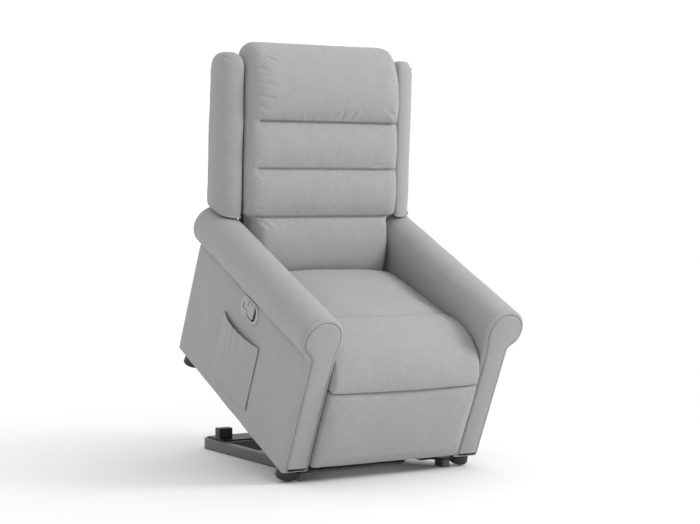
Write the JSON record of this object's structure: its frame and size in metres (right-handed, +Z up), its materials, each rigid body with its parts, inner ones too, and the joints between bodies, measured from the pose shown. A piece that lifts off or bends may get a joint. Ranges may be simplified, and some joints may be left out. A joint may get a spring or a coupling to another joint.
{
  "type": "lift recliner armchair",
  "caption": "Upholstered stand-up recliner with rolled arms, winged channel back, folding footrest, side handle and pocket, raised on a steel lift base.",
  "frame": {"origin": "middle of the footprint on the floor", "axes": "+X to the right of someone facing the chair, -Y is the front, +Z up; at rest the chair is raised and tipped 25 degrees forward on its base"},
  "size_m": [0.773, 1.0438, 1.3198],
  "materials": {
    "upholstery": "matt plain weave, light grey",
    "plywood": "bare plywood and timber",
    "black_lining": "black lining cloth over timber",
    "grey_steel": "satin grey powder coat",
    "black_steel": "satin black powder coat",
    "bright_steel": "zinc plated",
    "black_plastic": "fine moulded texture",
    "grey_plastic": "fine moulded texture",
    "handle_plastic": "fine moulded texture, light grey"
  },
  "bodies": {
    "base": {"base_rail_left": "grey_steel", "base_rail_right": "grey_steel", "base_rail_plugs": "black_plastic", "base_rear_beam": "grey_steel", "base_front_tube": "grey_steel", "base_bracket_left": "black_steel", "base_bracket_right": "black_steel", "lift_pins": "bright_steel", "base_pads": "grey_plastic", "rear_plate": "black_steel", "rest_blocks": "black_plastic", "actuator_clevis": "black_steel"},
    "chair": {"lift_arm_left": "black_steel", "lift_arm_right": "black_steel", "lift_posts": "black_steel", "lift_cross_tube": "black_steel", "actuator_lever": "black_steel", "seat_rail_left": "plywood", "seat_rail_right": "plywood", "seat_front_rail": "plywood", "seat_rear_rail": "plywood", "seat_springs": "bright_steel", "seat_cushion": "upholstery", "mechanism_plate_left": "black_steel", "mechanism_plate_right": "black_steel", "mechanism_pins": "bright_steel", "arm_board_left": "plywood", "arm_board_right": "plywood", "arm_cover_left": "upholstery", "arm_cover_right": "upholstery", "arm_bolts": "bright_steel", "chair_feet": "black_plastic", "rear_panel": "upholstery", "handle_bezel": "handle_plastic", "handle_cup": "black_plastic", "side_pocket": "upholstery", "control_box": "black_plastic"},
    "backrest": {"back_post_left": "black_lining", "back_post_right": "black_lining", "back_rails": "plywood", "back_springs": "bright_steel", "back_brackets": "black_steel", "back_cushion": "upholstery", "back_cover": "upholstery", "wing_board_left": "black_lining", "wing_board_right": "black_lining", "wing_left": "upholstery", "wing_right": "upholstery"},
    "footrest_rear_link": {"footrest_rear_links": "black_steel", "footrest_torque_tube": "black_steel"},
    "footrest_front_link": {"footrest_front_links": "black_steel"},
    "footrest": {"footrest_brackets": "black_steel", "footrest_board": "plywood", "footrest_pad": "upholstery"},
    "release_handle": {"release_paddle": "handle_plastic"},
    "actuator_body": {"motor_housing": "black_plastic", "actuator_tube": "bright_steel"},
    "actuator_rod": {"actuator_rod": "bright_steel"}
  },
  "joints": [
    {"name": "lift", "type": "hinge", "parent": "base", "child": "chair", "pos_m": [0, -0.30768, 0.09296], "axis": [1, 0, 0], "range_deg": [-25, 0]},
    {"name": "recline", "type": "hinge", "parent": "chair", "child": "backrest", "pos_m": [0, 0.205, 0.5836], "axis": [-1, 0, 0], "range_deg": [0, 35]},
    {"name": "footrest_open", "type": "hinge", "parent": "chair", "child": "footrest_rear_link", "pos_m": [0, -0.35813, 0.27687], "axis": [-1, 0, 0], "range_deg": [0, 72]},
    {"name": "footrest_knee", "type": "hinge", "parent": "footrest_rear_link", "child": "footrest_front_link", "pos_m": [0, -0.28417, 0.11827], "axis": [-1, 0, 0], "range_deg": [-144, 0]},
    {"name": "footrest_panel", "type": "hinge", "parent": "footrest_front_link", "child": "footrest", "pos_m": [0, -0.35813, 0.27687], "axis": [-1, 0, 0], "range_deg": [0, 162]},
    {"name": "release", "type": "hinge", "parent": "chair", "child": "release_handle", "pos_m": [-0.341, -0.08321, 0.5143], "axis": [0, 0.4226, -0.9063], "range_deg": [0, 30], "stiffness_Nm_per_rad": 0.6},
    {"name": "actuator_rear_pivot", "type": "hinge", "parent": "base", "child": "actuator_body", "pos_m": [0, 0.39092, 0.062], "axis": [1, 0, 0], "range_deg": [-1, 5]},
    {"name": "actuator_stroke", "type": "slide", "parent": "actuator_body", "child": "actuator_rod", "axis": [0, -0.9077, 0.4197], "range_m": [-0.112, 0]}
  ],
  "couplings": [
    {"joint": "footrest_knee", "follows": "footrest_open", "ratio": -2},
    {"joint": "footrest_panel", "follows": "footrest_open", "ratio": 2.25},
    {"joint": "actuator_rear_pivot", "follows": "lift", "ratio": -0.16938},
    {"joint": "actuator_stroke", "follows": "lift", "m_per_rad": 0.2471}
  ]
}
